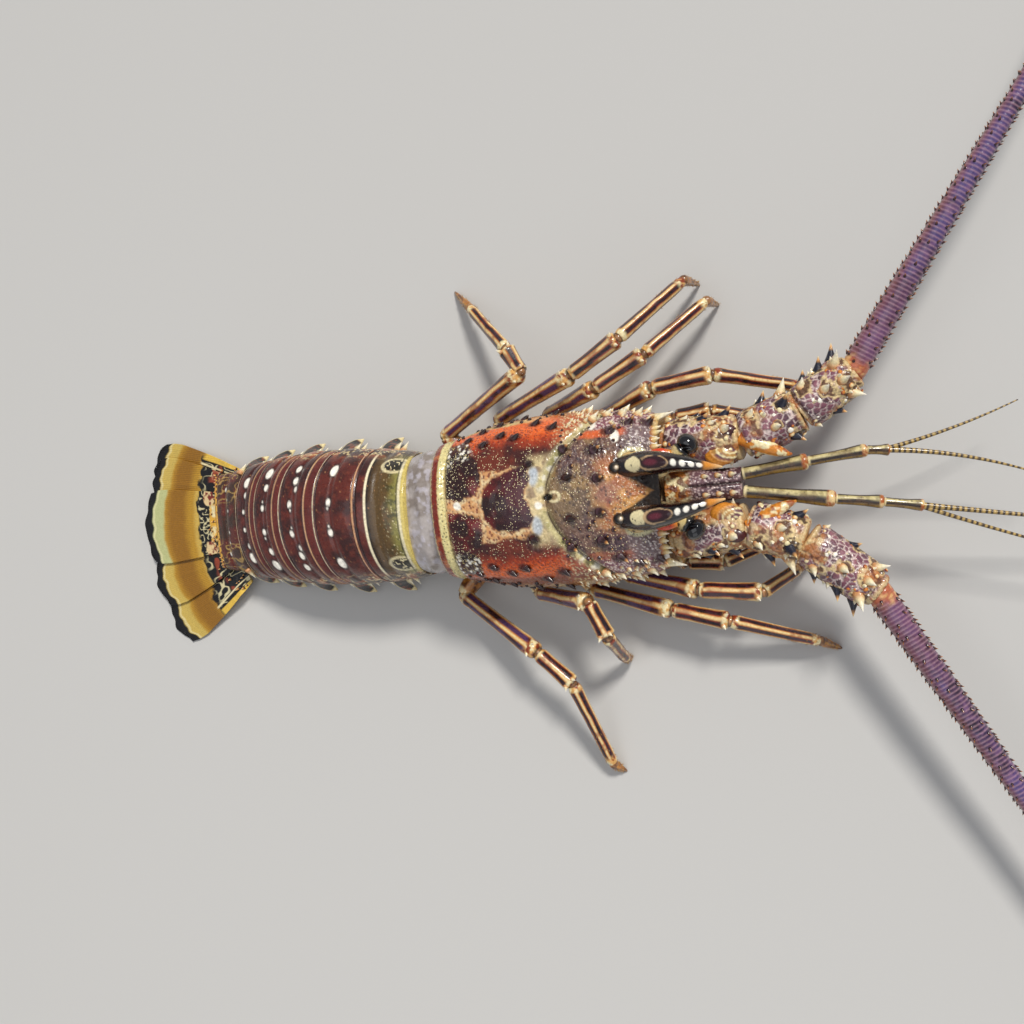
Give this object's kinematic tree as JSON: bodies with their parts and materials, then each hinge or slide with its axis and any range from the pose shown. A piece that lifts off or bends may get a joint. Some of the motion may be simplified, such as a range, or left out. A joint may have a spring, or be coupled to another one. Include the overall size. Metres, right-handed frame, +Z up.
{
  "type": "caribbean spiny lobster",
  "caption": "Spiny lobster at life size, lying on its belly with legs spread, tail fan open and long antennae swept out.",
  "frame": {"origin": "on the floor, at the middle of the flat of the sternum that the animal rests on", "axes": "+X towards the head, +Y towards the animal's left, +Z up"},
  "size_m": [0.7713, 0.9593, 0.1014],
  "materials": {
    "shell": "wet shell, maroon and orange-red with cream net lines and spots",
    "belly": "pale cream shell with orange edges",
    "horn": "dark maroon horn with cream base, white dots and a yellow tip",
    "eye": "glossy black cornea on a cream stalk",
    "head": "pink-purple granular shell with a cream network and spines",
    "antenna": "glossy violet with fine rings and small spines",
    "antennule": "yellow-cream with dark stripes",
    "membrane": "wet grey-white membrane",
    "tail_fan": "golden blades with black and cream bands",
    "leg": "cream and orange with dark purple stripes"
  },
  "bodies": {
    "root": {"carapace": "shell", "sternum": "belly", "antennular_plate": "head", "waist_membrane": "membrane", "tail_ring_1": "shell", "tail_ring_2": "shell", "tail_ring_3": "shell", "tail_ring_4": "shell", "tail_ring_5": "shell", "tail_ring_6": "shell", "telson": "tail_fan", "uropod_inner_left": "tail_fan", "uropod_inner_right": "tail_fan", "uropod_outer_left": "tail_fan", "uropod_outer_right": "tail_fan", "horn_left": "horn", "eye_left": "eye", "maxilliped_left": "leg", "antenna_left_article_1": "head", "antenna_left_article_2": "head", "antenna_left_article_3": "head", "antenna_left_length_1": "antenna", "antenna_left_length_2": "antenna", "antenna_left_length_3": "antenna", "antennule_left": "antennule", "leg_left_1_upper": "leg", "leg_left_1_lower": "leg", "leg_left_2_upper": "leg", "leg_left_2_lower": "leg", "leg_left_3_upper": "leg", "leg_left_3_lower": "leg", "leg_left_4_upper": "leg", "leg_left_4_lower": "leg", "leg_left_5_upper": "leg", "leg_left_5_lower": "leg", "horn_right": "horn", "eye_right": "eye", "maxilliped_right": "leg", "antenna_right_article_1": "head", "antenna_right_article_2": "head", "antenna_right_article_3": "head", "antenna_right_length_1": "antenna", "antenna_right_length_2": "antenna", "antenna_right_length_3": "antenna", "antennule_right": "antennule", "leg_right_1_upper": "leg", "leg_right_1_lower": "leg", "leg_right_2_upper": "leg", "leg_right_2_lower": "leg", "leg_right_3_upper": "leg", "leg_right_3_lower": "leg", "leg_right_4_upper": "leg", "leg_right_4_lower": "leg", "leg_right_5_upper": "leg", "leg_right_5_lower": "leg"}
  },
  "joints": []
}
